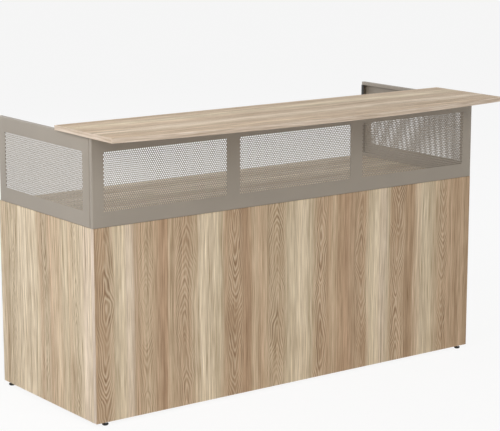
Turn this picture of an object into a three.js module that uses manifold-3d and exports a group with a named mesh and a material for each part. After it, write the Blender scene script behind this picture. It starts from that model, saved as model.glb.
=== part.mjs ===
// Reception desk: laminate panels, a worksurface inside them, perforated steel screens
// standing on the panels, and a bow-front transaction top on the screens.
// Millimetres, +Z up, +X to a visitor's right. Pieces are laid out with the visitor's face of the
// front panel at y = 0 and the floor at z = 0, and the desk is centred on its footprint at the end.
import * as THREE from "three";
import { mergeVertices } from "three/addons/utils/BufferGeometryUtils.js";
import Module from "manifold-3d";

// Boards
const deskWidth = 1829;
const deskDepth = 695;
const panelThickness = 19;
const panelHeight = 724;
const worksurfaceThickness = 25;
const bandThickness = 2;

// Screens, folded from sheet
const screenHeight = 329;
const screenDepth = 19;
const sheet = 1.5;
const returnLip = 12;
const endScreenSetback = 10;
const windowCount = 3;
const windowHeight = 217;
const windowSideBorder = 46;
const mullionWidth = 57;
const holeDiameter = 6.1;
const holePitch = 8.4;
const trimWidth = 15;
const trimThickness = 1.5;

// Transaction top, with the front edge a circular arc
const topThickness = 18;
const topFrontOverhang = 160;
const topBow = 66;
const topEndOverhang = 15;
const topReach = 232;

// Steel under the boards and inside the screens
const steel = 2.5;
const angleLeg = 32;
const railEndInset = 60;
const frontAngleLength = 90;
const frontAngleOffset = 480;
const stiffenerWidth = 40;
const stiffenerHeight = 28;
const stiffenerInset = 70;
const stiffenerEndGap = 6;
const postWidth = 38;
const topBracketWidth = 34;
const topBracketReach = 150;
const topBracketDrop = 70;
const topScrewInset = 30;

// Leveling feet
const padRadius = 12;
const padSoleRadius = 9;
const padSideHeight = 5;
const padHeight = 10;
const padSocketDepth = 6;
const studRadius = 4;
const studTravel = 20;
const studSpare = 3;
const insertRadius = 6.5;
const insertFlangeRadius = 8.5;
const insertFlange = 1.7;
const insertLength = 15;
const footInset = 43;

// Cam fittings between the front panel and the end panels
const camRadius = 7.5;
const camDepth = 12.5;
const camSetback = 24;
const camFromEdge = 150;
const camDriveWidth = 2;
const camDriveLength = 10;
const camDriveDepth = 2.5;
const camBoltRadius = 3;
const camBoltGrip = 11;

// Screws
const screwRadius = 2.2;
const screwHeadRadius = 4.5;
const screwHeadHeight = 2.6;
const holdDownLength = 22;
const holdDownInset = 140;
const cornerScrewLength = 10;
const cornerScrewInset = 60;
const topScrewLength = 15;

// Clearances: between seated pieces, round a shaft in its hole, and beside the worksurface
const seatGap = 0.3;
const holeGap = 0.3;
const boardGap = 0.6;

// Finishes
const laminate = { color: 0xc0a58a, roughness: 0.55, metalness: 0 };
const bandFinish = { color: 0xd6c0a6, roughness: 0.5, metalness: 0 };
const paint = { color: 0x88827c, roughness: 0.5, metalness: 0.3 };
const darkPaint = { color: 0x2b2b2c, roughness: 0.55, metalness: 0.4 };
const blackPlastic = { color: 0x151412, roughness: 0.6, metalness: 0 };
const zinc = { color: 0xb4b6b8, roughness: 0.35, metalness: 0.9 };

// Levels and faces that follow from the sizes
const halfWidth = deskWidth / 2;
const panelBottom = padHeight + insertFlange + 2 * seatGap;
const panelTop = panelBottom + panelHeight;
const panelInside = halfWidth - panelThickness;
const panelMiddle = halfWidth - panelThickness / 2;
const boardUnder = panelTop - worksurfaceThickness - seatGap;
const screenBottom = panelTop + seatGap;
const screenTop = screenBottom + screenHeight;
const endScreenFront = screenDepth + seatGap;
const endScreenRear = deskDepth - endScreenSetback;
const endScreenMiddle = halfWidth - screenDepth / 2;
const windowBottom = screenBottom + (screenHeight - windowHeight) / 2;
const windowLevels = [windowBottom, windowBottom + windowHeight];
const windowWidth = (deskWidth - 2 * windowSideBorder - (windowCount - 1) * mullionWidth) / windowCount;
const windowStep = windowWidth + mullionWidth;
const firstWindow = -halfWidth + windowSideBorder;
const studTop = panelBottom + insertLength + studTravel + studSpare;
const topUnder = screenTop + seatGap;
const topLevels = [topUnder, topUnder + topThickness];
const screwHoleRadius = screwRadius + holeGap;

// The punched windows are drawn as a plain grid of openings with the open share of the round holes
const gridColumns = 12;
const gridRows = 5;
const openShare = (Math.PI * holeDiameter ** 2) / (2 * Math.sqrt(3) * holePitch ** 2);
const openSide = Math.sqrt(openShare);

const roundSides = 16;
const padSteps = 4;
const arcSteps = 24;
const overcut = 1;

const wasm = await Module();
wasm.setup();

function solidOf(geometry) {
  const bare = geometry.clone();
  bare.deleteAttribute("normal");
  bare.deleteAttribute("uv");
  const merged = mergeVertices(bare);
  return new wasm.Manifold(new wasm.Mesh({
    numProp: 3,
    vertProperties: new Float32Array(merged.attributes.position.array),
    triVerts: new Uint32Array(merged.index.array),
  }));
}

function geometryOf(solid) {
  const mesh = solid.getMesh();
  const geometry = new THREE.BufferGeometry();
  geometry.setAttribute("position", new THREE.BufferAttribute(mesh.vertProperties, 3));
  geometry.setIndex(new THREE.BufferAttribute(mesh.triVerts, 1));
  geometry.computeVertexNormals();
  return geometry;
}

function cut(geometry, tools) {
  return geometryOf(tools.reduce((solid, tool) => solid.subtract(solidOf(tool)), solidOf(geometry)));
}

function join(pieces) {
  return geometryOf(pieces.map(solidOf).reduce((whole, solid) => whole.add(solid)));
}

// A block between two values on each axis, given in either order
function block(...spans) {
  const sizes = spans.map(([from, to]) => Math.abs(to - from));
  const centre = spans.map(([from, to]) => (from + to) / 2);
  return new THREE.BoxGeometry(...sizes).translate(...centre);
}

const lengthOf = ([from, to]) => Math.abs(to - from);
const middleOf = ([from, to]) => (from + to) / 2;

function cylinder(radius, span) {
  return new THREE.CylinderGeometry(radius, radius, lengthOf(span), roundSides);
}

function rodX(radius, span, y, z) {
  return cylinder(radius, span).rotateZ(Math.PI / 2).translate(middleOf(span), y, z);
}

function rodY(radius, x, span, z) {
  return cylinder(radius, span).translate(x, middleOf(span), z);
}

function rodZ(radius, x, y, span) {
  return cylinder(radius, span).rotateX(Math.PI / 2).translate(x, y, middleOf(span));
}

// A solid turned about a vertical axis, from [radius, height] points
function turned(points) {
  const profile = points.map(([radius, height]) => new THREE.Vector2(radius, height));
  return new THREE.LatheGeometry(profile, roundSides).rotateX(Math.PI / 2);
}

// A flat outline, given in plan, raised between two levels
function plate(outline, [from, to]) {
  const options = { depth: to - from, bevelEnabled: false, curveSegments: arcSteps };
  return new THREE.ExtrudeGeometry(outline, options).translate(0, 0, from);
}

const desk = new THREE.Group();

function piece(name, geometry, finish) {
  const mesh = new THREE.Mesh(geometry, new THREE.MeshStandardMaterial(finish));
  mesh.name = name;
  desk.add(mesh);
}

const sides = [{ side: "left", sign: -1 }, { side: "right", sign: 1 }];

// Where the joints between pieces lie
const feet = sides.flatMap(({ side, sign }) => [
  { name: `front_${side}_foot`, x: sign * (halfWidth - footInset), y: panelThickness / 2 },
  { name: `rear_${side}_foot`, x: sign * panelMiddle, y: deskDepth - footInset },
]);
const camLevels = [
  { level: "lower", z: panelBottom + camFromEdge },
  { level: "upper", z: panelTop - camFromEdge },
];
const camY = panelThickness + camSetback;
const camBoltEnds = [panelThickness - camBoltGrip, camY + camBoltRadius];
const holdDowns = sides.flatMap(({ side, sign }) => [
  { name: `front_screen_${side}_screw`, x: sign * (halfWidth - holdDownInset), y: screenDepth / 2 },
  { name: `${side}_end_screen_front_screw`, x: sign * endScreenMiddle, y: endScreenFront + holdDownInset },
  { name: `${side}_end_screen_rear_screw`, x: sign * endScreenMiddle, y: endScreenRear - holdDownInset },
]);
const holdDownSeat = screenBottom + sheet + seatGap;
const cornerScrewX = halfWidth - sheet - returnLip / 2;
const cornerScrewLevels = [
  { level: "lower", z: screenBottom + cornerScrewInset },
  { level: "upper", z: screenTop - cornerScrewInset },
];
const mullions = Array.from({ length: windowCount - 1 }, (unused, index) => (
  { number: index + 1, x: firstWindow + (index + 1) * windowStep - mullionWidth / 2 }
));
const topScrewY = endScreenFront + topBracketReach - topScrewInset;
const topScrewSeat = topUnder - steel - 2 * seatGap;

// A hole for a foot's insert, and above it the narrower one that its stud rises into
function footHoles({ x, y }) {
  const insertTop = panelBottom + insertLength + seatGap;
  return [
    rodZ(insertRadius + holeGap, x, y, [panelBottom - overcut, insertTop]),
    rodZ(studRadius + holeGap, x, y, [insertTop - overcut, studTop + seatGap]),
  ];
}

function holdDownHoles({ x, y }) {
  const bottom = holdDownSeat - holdDownLength - seatGap;
  return [rodZ(screwHoleRadius, x, y, [bottom, holdDownSeat + overcut])];
}

function camBoltHoles(sign) {
  const span = [camBoltEnds[0] - seatGap, camBoltEnds[1] + seatGap];
  return camLevels.map(({ z }) => rodY(camBoltRadius + holeGap, sign * panelMiddle, span, z));
}

function makeFrontPanel() {
  const boardEnd = halfWidth - bandThickness - seatGap;
  const board = block([-boardEnd, boardEnd], [0, panelThickness], [panelBottom, panelTop]);
  const holes = [
    ...feet.filter(({ name }) => name.startsWith("front")).flatMap(footHoles),
    ...holdDowns.filter(({ name }) => name.startsWith("front")).flatMap(holdDownHoles),
    ...sides.flatMap(({ sign }) => camBoltHoles(sign)),
  ];
  piece("front_panel", cut(board, holes), laminate);
  for (const { side, sign } of sides) {
    const bandSpan = [sign * (halfWidth - bandThickness), sign * halfWidth];
    const band = block(bandSpan, [0, panelThickness], [panelBottom, panelTop]);
    piece(`front_panel_${side}_edge_band`, band, bandFinish);
  }
}

function makeEndPanels() {
  const boardSpan = [panelThickness + seatGap, deskDepth - bandThickness - seatGap];
  const bandSpan = [deskDepth - bandThickness, deskDepth];
  const pocketBottom = panelInside + camDepth + seatGap;
  for (const { side, sign } of sides) {
    const faces = [sign * panelInside, sign * halfWidth];
    const pocketSpan = [sign * (panelInside - overcut), sign * pocketBottom];
    const holes = [
      ...feet.filter(({ name }) => name.startsWith(`rear_${side}`)).flatMap(footHoles),
      ...holdDowns.filter(({ name }) => name.startsWith(`${side}_end`)).flatMap(holdDownHoles),
      ...camLevels.map(({ z }) => rodX(camRadius + holeGap, pocketSpan, camY, z)),
      ...camBoltHoles(sign),
    ];
    piece(`${side}_end_panel`, cut(block(faces, boardSpan, [panelBottom, panelTop]), holes), laminate);
    piece(`${side}_end_panel_rear_edge_band`, block(faces, bandSpan, [panelBottom, panelTop]), bandFinish);
  }
}

function makeWorksurface() {
  const width = [-(panelInside - boardGap), panelInside - boardGap];
  const levels = [panelTop - worksurfaceThickness, panelTop];
  const boardSpan = [panelThickness + boardGap, deskDepth - bandThickness - seatGap];
  const bandSpan = [deskDepth - bandThickness, deskDepth];
  piece("worksurface", block(width, boardSpan, levels), laminate);
  piece("worksurface_rear_edge_band", block(width, bandSpan, levels), bandFinish);
}

// Each cam fitting: a slotted drum in the end panel, and the bolt in the front panel that it draws in
function makeCamFittings() {
  for (const { side, sign } of sides) {
    for (const { level, z } of camLevels) {
      const drum = rodX(camRadius, [sign * panelInside, sign * (panelInside + camDepth)], camY, z);
      const clear = camBoltRadius + holeGap;
      const mouth = block(
        [sign * (panelMiddle - clear), sign * (panelInside + camDepth + overcut)],
        [camY - camRadius - overcut, camBoltEnds[1] + seatGap],
        [z - clear, z + clear],
      );
      const drive = block(
        [sign * (panelInside - overcut), sign * (panelInside + camDriveDepth)],
        [camY - camDriveWidth / 2, camY + camDriveWidth / 2],
        [z - camDriveLength / 2, z + camDriveLength / 2],
      );
      piece(`${side}_${level}_cam`, cut(drum, [mouth, drive]), zinc);
      piece(`${side}_${level}_cam_bolt`, rodY(camBoltRadius, sign * panelMiddle, camBoltEnds, z), zinc);
    }
  }
}

// A folded pan: outer block, hollow, and the open back inside the return lips
function pan(outer, hollow, back, cuts) {
  return cut(block(...outer), [block(...hollow), block(...back), ...cuts]);
}

const inset = ([from, to], amount) => [from + amount, to - amount];
const screenLevels = [screenBottom, screenTop];

function gridSpan(span, count, index) {
  const pitch = lengthOf(span) / count;
  const middle = span[0] + (index + 0.5) * pitch;
  const half = (openSide * pitch) / 2;
  return [middle - half, middle + half];
}

// The openings of one window: their spans along the screen and up it
function gridOpenings(run) {
  return Array.from({ length: gridColumns * gridRows }, (unused, index) => ({
    along: gridSpan(run, gridColumns, index % gridColumns),
    up: gridSpan(windowLevels, gridRows, Math.floor(index / gridColumns)),
  }));
}

function cornerScrewHoles(sign) {
  const span = [screenDepth - sheet - overcut, endScreenFront + sheet + overcut];
  return cornerScrewLevels.map(({ z }) => rodY(screwHoleRadius, sign * cornerScrewX, span, z));
}

function makeFrontScreen() {
  const width = [-halfWidth, halfWidth];
  const outer = [width, [0, screenDepth], screenLevels];
  const hollow = [inset(width, sheet), [sheet, screenDepth - sheet], inset(screenLevels, sheet)];
  const rim = sheet + returnLip;
  const back = [inset(width, rim), [sheet, screenDepth + overcut], inset(screenLevels, rim)];
  const openings = Array.from({ length: windowCount }, (unused, index) => {
    const left = firstWindow + index * windowStep;
    return gridOpenings([left, left + windowWidth]);
  });
  const through = [-overcut, sheet + overcut];
  const windows = openings.flat().map(({ along, up }) => block(along, through, up));
  const holes = [
    ...holdDowns.filter(({ name }) => name.startsWith("front")).flatMap(holdDownHoles),
    ...sides.flatMap(({ sign }) => cornerScrewHoles(sign)),
  ];
  piece("front_screen", pan(outer, hollow, back, [...windows, ...holes]), paint);
}

function makeEndScreens() {
  const run = [endScreenFront, endScreenRear];
  const rim = sheet + returnLip;
  const inner = halfWidth - screenDepth;
  for (const { side, sign } of sides) {
    const outer = [[sign * inner, sign * halfWidth], run, screenLevels];
    const hollowSpan = [sign * (inner + sheet), sign * (halfWidth - sheet)];
    const hollow = [hollowSpan, inset(run, sheet), inset(screenLevels, sheet)];
    const backSpan = [sign * (inner - overcut), sign * (halfWidth - sheet)];
    const back = [backSpan, inset(run, rim), inset(screenLevels, rim)];
    const through = [sign * (halfWidth - sheet - overcut), sign * (halfWidth + overcut)];
    const windows = gridOpenings(inset(run, windowSideBorder)).map(({ along, up }) => block(through, along, up));
    const holes = [
      ...holdDowns.filter(({ name }) => name.startsWith(`${side}_end`)).flatMap(holdDownHoles),
      ...cornerScrewHoles(sign),
    ];
    piece(`${side}_end_screen`, pan(outer, hollow, back, [...windows, ...holes]), paint);
    const trimFace = inner - seatGap;
    const trim = block(
      [sign * trimFace, sign * (trimFace - trimThickness)],
      [endScreenRear - trimWidth, endScreenRear],
      inset(screenLevels, rim),
    );
    piece(`${side}_end_screen_trim`, trim, blackPlastic);
  }
}

// Channel posts inside the front screen, behind the mullions
function makeMullionPosts() {
  const levels = inset(screenLevels, sheet + seatGap);
  const depth = inset([0, screenDepth], sheet + seatGap);
  for (const { number, x } of mullions) {
    const width = [x - postWidth / 2, x + postWidth / 2];
    const channelDepth = [depth[0] + steel, depth[1] + overcut];
    const channel = block(inset(width, steel), channelDepth, inset(levels, -overcut));
    piece(`mullion_post_${number}`, cut(block(width, depth, levels), [channel]), paint);
  }
}

// The top's plan, drawn in from its full outline: a straight rear and ends, and a bowed front
const topHalfWidth = halfWidth + topEndOverhang;
const bowRadius = (topHalfWidth ** 2 + topBow ** 2) / (2 * topBow);
const bowCentre = bowRadius - topFrontOverhang - topBow;

function bowY(radius, x) {
  return bowCentre - Math.sqrt(radius ** 2 - x ** 2);
}

function bowAngles(radius, halfSpan) {
  const half = Math.asin(halfSpan / radius);
  return [-Math.PI / 2 - half, -Math.PI / 2 + half];
}

function makeTop() {
  const bandRoom = bandThickness + seatGap;
  const boardHalf = topHalfWidth - bandRoom;
  const boardRadius = bowRadius - bandRoom;
  const outline = new THREE.Shape();
  outline.moveTo(boardHalf, topReach - bandRoom);
  outline.lineTo(-boardHalf, topReach - bandRoom);
  outline.lineTo(-boardHalf, bowY(boardRadius, boardHalf));
  outline.absarc(0, bowCentre, boardRadius, ...bowAngles(boardRadius, boardHalf), false);
  const screwTop = topScrewSeat + topScrewLength + seatGap;
  const screwHoles = mullions.map(({ x }) => (
    rodZ(screwHoleRadius, x, topScrewY, [topUnder - overcut, screwTop])
  ));
  piece("transaction_top", cut(plate(outline, topLevels), screwHoles), laminate);
}

function makeTopBands() {
  const insideRadius = bowRadius - bandThickness;
  const [insideFrom, insideTo] = bowAngles(insideRadius, topHalfWidth);
  const front = new THREE.Shape();
  front.absarc(0, bowCentre, bowRadius, ...bowAngles(bowRadius, topHalfWidth), false);
  front.absarc(0, bowCentre, insideRadius, insideTo, insideFrom, true);
  piece("top_front_edge_band", plate(front, topLevels), bandFinish);
  const rearSpan = [topReach - bandThickness, topReach];
  piece("top_rear_edge_band", block([-topHalfWidth, topHalfWidth], rearSpan, topLevels), bandFinish);
  const endSpan = [bowY(insideRadius, topHalfWidth) + seatGap, rearSpan[0] - seatGap];
  for (const { side, sign } of sides) {
    const faces = [sign * (topHalfWidth - bandThickness), sign * topHalfWidth];
    piece(`top_${side}_edge_band`, block(faces, endSpan, topLevels), bandFinish);
  }
}

// Angles under the worksurface: a rail on each end panel and short ones on the front panel
function makeWorksurfaceSupports() {
  const upright = [boardUnder - angleLeg, boardUnder];
  const flat = [boardUnder - steel, boardUnder];
  for (const { side, sign } of sides) {
    const face = panelInside - seatGap;
    const run = [panelThickness + railEndInset, deskDepth - railEndInset];
    const rail = [
      block([sign * (face - steel), sign * face], run, upright),
      block([sign * (face - angleLeg), sign * face], run, flat),
    ];
    piece(`${side}_worksurface_rail`, join(rail), darkPaint);
    const middle = sign * frontAngleOffset;
    const width = [middle - frontAngleLength / 2, middle + frontAngleLength / 2];
    const back = panelThickness + seatGap;
    const angle = [
      block(width, [back, back + steel], upright),
      block(width, [back, back + angleLeg], flat),
    ];
    piece(`${side}_front_angle`, join(angle), darkPaint);
  }
}

// A channel under the worksurface's free edge, between the rails
function makeStiffener() {
  const end = panelInside - seatGap - angleLeg - stiffenerEndGap;
  const rear = deskDepth - stiffenerInset;
  const width = [rear - stiffenerWidth, rear];
  const levels = [boardUnder - stiffenerHeight, boardUnder];
  const run = [-end, end];
  const channelLevels = [levels[0] - overcut, levels[1] - steel];
  const channel = block(inset(run, -overcut), inset(width, steel), channelLevels);
  piece("worksurface_stiffener", cut(block(run, width, levels), [channel]), darkPaint);
}

// Folded brackets behind the mullions that carry the rear of the top
function makeTopBrackets() {
  const back = endScreenFront;
  const upper = topUnder - seatGap;
  for (const { number, x } of mullions) {
    const width = [x - topBracketWidth / 2, x + topBracketWidth / 2];
    const upright = block(width, [back, back + steel], [upper - topBracketDrop, upper]);
    const arm = block(width, [back, back + topBracketReach], [upper - steel, upper]);
    const hole = rodZ(screwHoleRadius, x, topScrewY, [upper - steel - overcut, upper + overcut]);
    piece(`top_bracket_${number}`, cut(join([upright, arm]), [hole]), darkPaint);
  }
}

// A screw along +Z, with the underside of its head at z = 0
function screw(length) {
  return turned([
    [0, -screwHeadHeight],
    [screwHeadRadius, -screwHeadHeight],
    [screwHeadRadius, 0],
    [screwRadius, 0],
    [screwRadius, length],
    [0, length],
  ]);
}

function makeScrews() {
  for (const { name, x, y } of holdDowns) {
    piece(name, screw(holdDownLength).rotateX(Math.PI).translate(x, y, holdDownSeat), zinc);
  }
  const cornerSeat = endScreenFront + sheet + seatGap;
  for (const { side, sign } of sides) {
    for (const { level, z } of cornerScrewLevels) {
      const forward = screw(cornerScrewLength).rotateX(Math.PI / 2);
      forward.translate(sign * cornerScrewX, cornerSeat, z);
      piece(`${side}_${level}_corner_screw`, forward, zinc);
    }
  }
  for (const { number, x } of mullions) {
    piece(`top_screw_${number}`, screw(topScrewLength).translate(x, topScrewY, topScrewSeat), zinc);
  }
}

// The rounded edge of a pad, from its sole up to its straight side
function padEdge() {
  return Array.from({ length: padSteps + 1 }, (unused, step) => {
    const angle = (step / padSteps) * (Math.PI / 2);
    const radius = padSoleRadius + (padRadius - padSoleRadius) * Math.sin(angle);
    return [radius, padSideHeight * (1 - Math.cos(angle))];
  });
}

// Each leveling foot: a pad that swivels on a threaded stud, and the insert that the stud screws through
function makeFeet() {
  const socketBottom = padHeight - padSocketDepth;
  const boreRadius = studRadius + holeGap;
  const flangeBottom = padHeight + seatGap;
  for (const { name, x, y } of feet) {
    const pad = turned([
      [0, 0],
      ...padEdge(),
      [padRadius, padHeight],
      [boreRadius, padHeight],
      [boreRadius, socketBottom],
      [0, socketBottom],
    ]);
    const insert = turned([
      [boreRadius, flangeBottom],
      [insertFlangeRadius, flangeBottom],
      [insertFlangeRadius, flangeBottom + insertFlange],
      [insertRadius, flangeBottom + insertFlange],
      [insertRadius, panelBottom + insertLength],
      [boreRadius, panelBottom + insertLength],
      [boreRadius, flangeBottom],
    ]);
    piece(`${name}_pad`, pad.translate(x, y, 0), blackPlastic);
    piece(`${name}_stud`, rodZ(studRadius, x, y, [socketBottom + seatGap, studTop]), zinc);
    piece(`${name}_insert`, insert.translate(x, y, 0), zinc);
  }
}

makeFrontPanel();
makeEndPanels();
makeWorksurface();
makeCamFittings();
makeFrontScreen();
makeEndScreens();
makeMullionPosts();
makeTop();
makeTopBands();
makeWorksurfaceSupports();
makeStiffener();
makeTopBrackets();
makeScrews();
makeFeet();

// The footprint runs from the middle of the bow to the rear of the end panels
desk.position.y = (topFrontOverhang + topBow - deskDepth) / 2;

export default desk;
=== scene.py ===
import math
import bpy
import bmesh
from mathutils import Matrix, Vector
from mathutils.geometry import delaunay_2d_cdt


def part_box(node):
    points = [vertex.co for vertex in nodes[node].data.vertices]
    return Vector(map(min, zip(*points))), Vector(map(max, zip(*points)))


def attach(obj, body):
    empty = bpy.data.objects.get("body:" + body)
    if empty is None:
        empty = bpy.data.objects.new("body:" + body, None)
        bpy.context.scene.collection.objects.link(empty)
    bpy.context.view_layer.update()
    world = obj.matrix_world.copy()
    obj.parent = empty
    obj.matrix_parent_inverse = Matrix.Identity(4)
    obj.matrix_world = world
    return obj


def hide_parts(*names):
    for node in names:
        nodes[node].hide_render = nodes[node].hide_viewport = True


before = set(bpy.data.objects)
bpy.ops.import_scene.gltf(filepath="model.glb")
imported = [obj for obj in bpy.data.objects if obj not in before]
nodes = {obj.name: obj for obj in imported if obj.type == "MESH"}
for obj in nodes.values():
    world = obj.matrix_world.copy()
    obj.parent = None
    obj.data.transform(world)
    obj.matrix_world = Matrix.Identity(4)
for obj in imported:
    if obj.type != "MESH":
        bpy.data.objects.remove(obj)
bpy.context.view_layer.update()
print("frame loaded:", len(nodes), "nodes")

view = bpy.context.scene.view_settings
view.view_transform = "Standard"


# shader helpers

def maths(tree, kind, a, b=0.0, c=0.0, clamp=False):
    node = tree.nodes.new("ShaderNodeMath")
    node.operation = kind
    node.use_clamp = clamp
    for socket, value in zip(node.inputs, (a, b, c)):
        if isinstance(value, bpy.types.NodeSocket):
            tree.links.new(value, socket)
        else:
            socket.default_value = value
    return node.outputs[0]

def link(tree, source, socket):
    if isinstance(source, bpy.types.NodeSocket):
        tree.links.new(source, socket)
    elif isinstance(source, (tuple, list)) and len(source) == 3 and socket.type == "RGBA":
        socket.default_value = (*source, 1)
    else:
        socket.default_value = source

def joinXyz(tree, x=0.0, y=0.0, z=0.0):
    node = tree.nodes.new("ShaderNodeCombineXYZ")
    for socket, value in zip(node.inputs, (x, y, z)):
        link(tree, value, socket)
    return node.outputs[0]

def splitXyz(tree, vector):
    node = tree.nodes.new("ShaderNodeSeparateXYZ")
    tree.links.new(vector, node.inputs[0])
    return node.outputs

def cloud(tree, vector, scale=1.0, detail=2.0):
    node = tree.nodes.new("ShaderNodeTexNoise")
    node.inputs["Scale"].default_value = scale
    node.inputs["Detail"].default_value = detail
    tree.links.new(vector, node.inputs["Vector"])
    return node.outputs[0]

def blendColour(tree, amount, a, b, kind="MIX"):
    node = tree.nodes.new("ShaderNodeMix")
    node.data_type = "RGBA"
    node.blend_type = kind
    link(tree, amount, node.inputs[0])
    link(tree, a, node.inputs[6])
    link(tree, b, node.inputs[7])
    return node.outputs[2]

def smoothRange(tree, value, low, high, outLow=0.0, outHigh=1.0):
    node = tree.nodes.new("ShaderNodeMapRange")
    node.interpolation_type = "SMOOTHSTEP"
    link(tree, value, node.inputs["Value"])
    node.inputs["From Min"].default_value = low
    node.inputs["From Max"].default_value = high
    node.inputs["To Min"].default_value = outLow
    node.inputs["To Max"].default_value = outHigh
    return node.outputs[0]

def newGroup(name, inputs, outputs):
    group = bpy.data.node_groups.new(name, "ShaderNodeTree")
    for label, kind, default in inputs:
        socket = group.interface.new_socket(name=label, in_out="INPUT", socket_type="NodeSocket" + kind)
        if default is not None:
            socket.default_value = default
    for label, kind in outputs:
        group.interface.new_socket(name=label, in_out="OUTPUT", socket_type="NodeSocket" + kind)
    return group, group.nodes.new("NodeGroupInput").outputs, group.nodes.new("NodeGroupOutput").inputs

def useGroup(tree, group, **values):
    node = tree.nodes.new("ShaderNodeGroup")
    node.node_tree = group
    for socket in node.inputs:
        key = socket.name.replace(" ", "")
        key = key[0].lower() + key[1:]
        if key in values:
            link(tree, values[key], socket)
    return node.outputs

def newMaterial(name):
    material = bpy.data.materials.new(name)
    material.use_nodes = True
    tree = material.node_tree
    return material, tree, tree.nodes["Principled BSDF"]

def addBump(tree, shader, height, strength, distance):
    bump = tree.nodes.new("ShaderNodeBump")
    bump.inputs["Strength"].default_value = strength
    bump.inputs["Distance"].default_value = distance
    tree.links.new(height, bump.inputs["Height"])
    tree.links.new(bump.outputs[0], shader.inputs["Normal"])

def linear(red, green, blue):
    return tuple(((c / 255 + 0.055) / 1.055) ** 2.4 if c > 10 else c / 3294.6 for c in (red, green, blue))


# camera, floor and light

camera = {
    "lens": 124.53, "sensor": 36, "farEnd": 100,
    "place": (-4.024, -5.4055, 1.995), "tilt": 78.63, "yaw": -36.32,
}

def makeCamera(spec):
    data = bpy.data.cameras.new("studioCamera")
    data.lens = spec["lens"]
    data.sensor_width = spec["sensor"]
    data.clip_end = spec["farEnd"]
    eye = bpy.data.objects.new("studioCamera", data)
    eye.location = spec["place"]
    eye.rotation_euler = (math.radians(spec["tilt"]), 0, math.radians(spec["yaw"]))
    bpy.context.scene.collection.objects.link(eye)
    bpy.context.scene.camera = eye

makeCamera(camera)

studio = {
    "floorColour": (0.9, 0.9, 0.9),
    "floorWhite": 0.88,       # share of plain white the camera sees, the rest is shaded floor
    "floorSize": 60.0,
    "floorDrop": 0.0002,      # keeps the floor clear of the soles
    "ambient": 0.34,
    "aim": (0, 0, 0.55),
    "key": {"at": (-3.4, -1.0, 2.7), "size": 1.7, "watts": 62, "colour": (1.0, 0.99, 0.985)},
    "front": {"at": (0.4, -6.0, 4.5), "size": 3.0, "watts": 98, "colour": (1.0, 0.97, 0.92)},
    "rear": {"at": (-1.2, 6.4, 2.4), "size": 3.2, "watts": 120, "colour": (1.0, 0.99, 0.98)},
    "side": {"at": (6.2, -1.4, 3.0), "size": 3.0, "watts": 55, "colour": (1.0, 0.98, 0.95)},
}

def seenDirect(tree):
    # camera, mirror and see-through rays all find the white studio
    path = tree.nodes.new("ShaderNodeLightPath")
    one = maths(tree, "MAXIMUM", path.outputs["Is Camera Ray"], path.outputs["Is Glossy Ray"])
    return maths(tree, "MAXIMUM", one, path.outputs["Is Transmission Ray"])

def makeStudio(spec):
    floorMesh = bpy.data.meshes.new("floor")
    half = spec["floorSize"] / 2
    corners = [(-half, -half, 0), (half, -half, 0), (half, half, 0), (-half, half, 0)]
    floorMesh.from_pydata(corners, [], [(0, 1, 2, 3)])
    floor = bpy.data.objects.new("floor", floorMesh)
    bpy.context.scene.collection.objects.link(floor)
    floor.location.z = -spec["floorDrop"]
    paint = bpy.data.materials.new("paleFloor")
    paint.use_nodes = True
    tree = paint.node_tree
    tree.nodes.clear()
    out = tree.nodes.new("ShaderNodeOutputMaterial")
    matt = tree.nodes.new("ShaderNodeBsdfDiffuse")
    matt.inputs["Color"].default_value = (*spec["floorColour"], 1)
    white = tree.nodes.new("ShaderNodeEmission")
    white.inputs["Strength"].default_value = 1.0
    mix = tree.nodes.new("ShaderNodeMixShader")
    tree.links.new(maths(tree, "MULTIPLY", seenDirect(tree), spec["floorWhite"]), mix.inputs[0])
    tree.links.new(matt.outputs[0], mix.inputs[1])
    tree.links.new(white.outputs[0], mix.inputs[2])
    tree.links.new(mix.outputs[0], out.inputs["Surface"])
    floorMesh.materials.append(paint)

    world = bpy.data.worlds.new("studio")
    bpy.context.scene.world = world
    world.use_nodes = True
    tree = world.node_tree
    tree.nodes.clear()
    out = tree.nodes.new("ShaderNodeOutputWorld")
    sky = tree.nodes.new("ShaderNodeBackground")
    level = maths(tree, "MULTIPLY_ADD", seenDirect(tree), 1.0 - spec["ambient"], spec["ambient"])
    tree.links.new(level, sky.inputs["Strength"])
    sky.inputs["Color"].default_value = (1, 1, 1, 1)
    tree.links.new(sky.outputs[0], out.inputs["Surface"])

    for name in ("key", "front", "rear", "side"):
        lampSpec = spec[name]
        data = bpy.data.lights.new(name + "Light", "AREA")
        data.shape = "SQUARE"
        data.size = lampSpec["size"]
        data.energy = lampSpec["watts"]
        data.color = lampSpec["colour"]
        lamp = bpy.data.objects.new(name + "Light", data)
        lamp.location = lampSpec["at"]
        aim = Vector(spec["aim"]) - lamp.location
        lamp.rotation_euler = aim.to_track_quat("-Z", "Y").to_euler()
        lamp.visible_camera = False
        bpy.context.scene.collection.objects.link(lamp)

makeStudio(studio)
print("camera, floor and lights placed")


# laminate: strips of pale and brown wood, with a flame figure in some of them

tones = {
    "pale": linear(225, 208, 181),
    "rose": linear(221, 203, 181),
    "ash": linear(212, 195, 167),
    "sand": linear(204, 182, 153),
    "tan": linear(198, 172, 143),
    "brown": linear(190, 162, 132),
    "russet": linear(184, 154, 125),
    "dark": linear(177, 149, 119),
}

# a streak is its scale across the board, its scale along it and its detail

wanderSpec = {
    "slow": (2.6, 1.8), "quick": (9.0, 3.0), "quickShare": 0.15,
    "fibres": [(170.0, 1.3), (70.0, 0.8)],
}

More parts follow.
